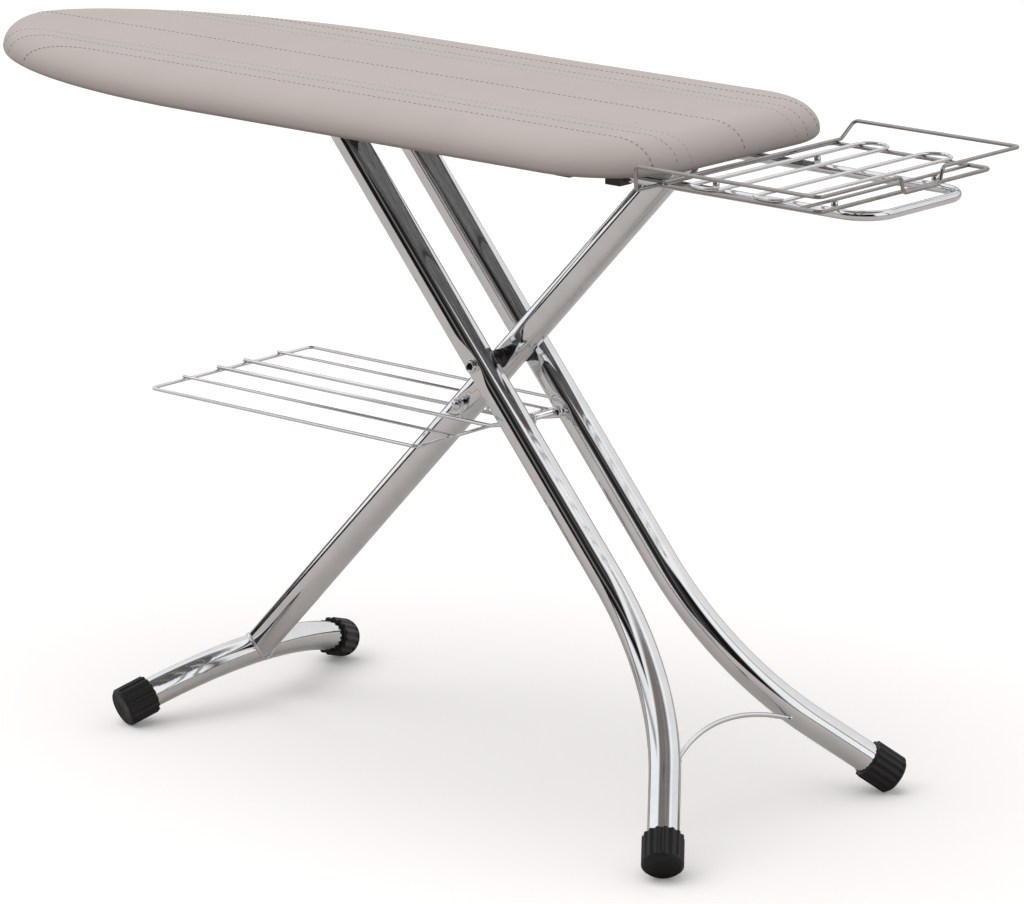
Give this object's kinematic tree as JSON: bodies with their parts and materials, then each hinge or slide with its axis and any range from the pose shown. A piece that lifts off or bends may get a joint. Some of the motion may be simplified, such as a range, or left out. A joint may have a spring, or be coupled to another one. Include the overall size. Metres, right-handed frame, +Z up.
{
  "type": "folding ironing board",
  "caption": "Folding ironing board on crossed chromed tube legs, with a fabric cover, a wire shelf and a wire iron rest.",
  "frame": {"origin": "on the floor, below the middle of the whole length and width", "axes": "+X towards the tail and its iron rest, +Y towards the side away from the release lever, +Z up"},
  "size_m": [1.436, 0.4836, 0.845],
  "materials": {
    "cover_fabric": "woven cotton, matt, warm grey",
    "felt": "needled felt, off-white",
    "zinc_sheet": "zinc plated sheet steel",
    "bright_steel": "bright zinc or chrome",
    "black_steel": "blackened steel",
    "chrome_tube": "polished chrome",
    "chrome_wire": "chromed wire",
    "black_rubber": "moulded, ribbed, satin",
    "black_plastic": "moulded, satin",
    "white_plastic": "nylon"
  },
  "bodies": {
    "board": {"cover": "cover_fabric", "felt_pad": "felt", "board_panel": "zinc_sheet", "board_rim": "zinc_sheet", "slide_rail_near": "zinc_sheet", "slide_rail_far": "zinc_sheet", "stiffener_front": "zinc_sheet", "stiffener_middle": "zinc_sheet", "hinge_bracket": "zinc_sheet", "hinge_pin": "bright_steel", "latch_lugs": "zinc_sheet", "rest_guides": "black_plastic", "panel_rivets": "bright_steel"},
    "latch": {"latch_comb": "zinc_sheet", "latch_rod": "bright_steel", "release_lever": "zinc_sheet", "lever_grip": "black_plastic", "latch_spring": "bright_steel"},
    "single_leg": {"single_leg": "chrome_tube", "cross_foot": "chrome_tube", "foot_cap_front_near": "black_rubber", "foot_cap_front_far": "black_rubber", "hinge_bush": "black_plastic", "pivot_sleeve": "bright_steel", "shelf_stop_pin": "bright_steel"},
    "twin_legs": {"twin_leg_near": "chrome_tube", "twin_leg_far": "chrome_tube", "brace_rod": "chrome_wire", "slide_bar": "bright_steel", "slide_bush_near": "white_plastic", "slide_bush_far": "white_plastic", "foot_cap_rear_near": "black_rubber", "foot_cap_rear_far": "black_rubber", "pivot_bolt": "black_steel", "pivot_nut": "bright_steel", "pivot_bush_near": "black_plastic", "pivot_bush_far": "black_plastic", "shelf_axle": "chrome_wire"},
    "shelf": {"shelf_frame": "chrome_wire", "shelf_wires": "chrome_wire", "shelf_hooks": "chrome_wire"},
    "iron_rest": {"rest_support": "chrome_wire", "rest_frame": "chrome_wire", "rest_wires": "chrome_wire", "rest_rail": "chrome_wire"}
  },
  "joints": [
    {"name": "fold", "type": "hinge", "parent": "board", "child": "single_leg", "pos_m": [0.358, 0, 0.7833], "axis": [0, 1, 0], "range_deg": [0, 39.9]},
    {"name": "scissor", "type": "hinge", "parent": "single_leg", "child": "twin_legs", "pos_m": [0.10655, 0, 0.5146], "axis": [0, -1, 0], "range_deg": [0, 80.84]},
    {"name": "shelf_fold", "type": "hinge", "parent": "twin_legs", "child": "shelf", "pos_m": [0.16252, 0, 0.4493], "axis": [0, 1, 0], "range_deg": [0, 42.09]},
    {"name": "rest_slide", "type": "slide", "parent": "board", "child": "iron_rest", "axis": [1, 0, 0], "range_m": [0, 0.06]},
    {"name": "release", "type": "hinge", "parent": "board", "child": "latch", "pos_m": [0, -0.022, 0.81201], "axis": [-1, 0, 0], "range_deg": [0, 16]}
  ],
  "couplings": [
    {"joint": "scissor", "follows": "fold", "ratio": 2.021},
    {"joint": "shelf_fold", "follows": "fold", "ratio": 1.05}
  ]
}
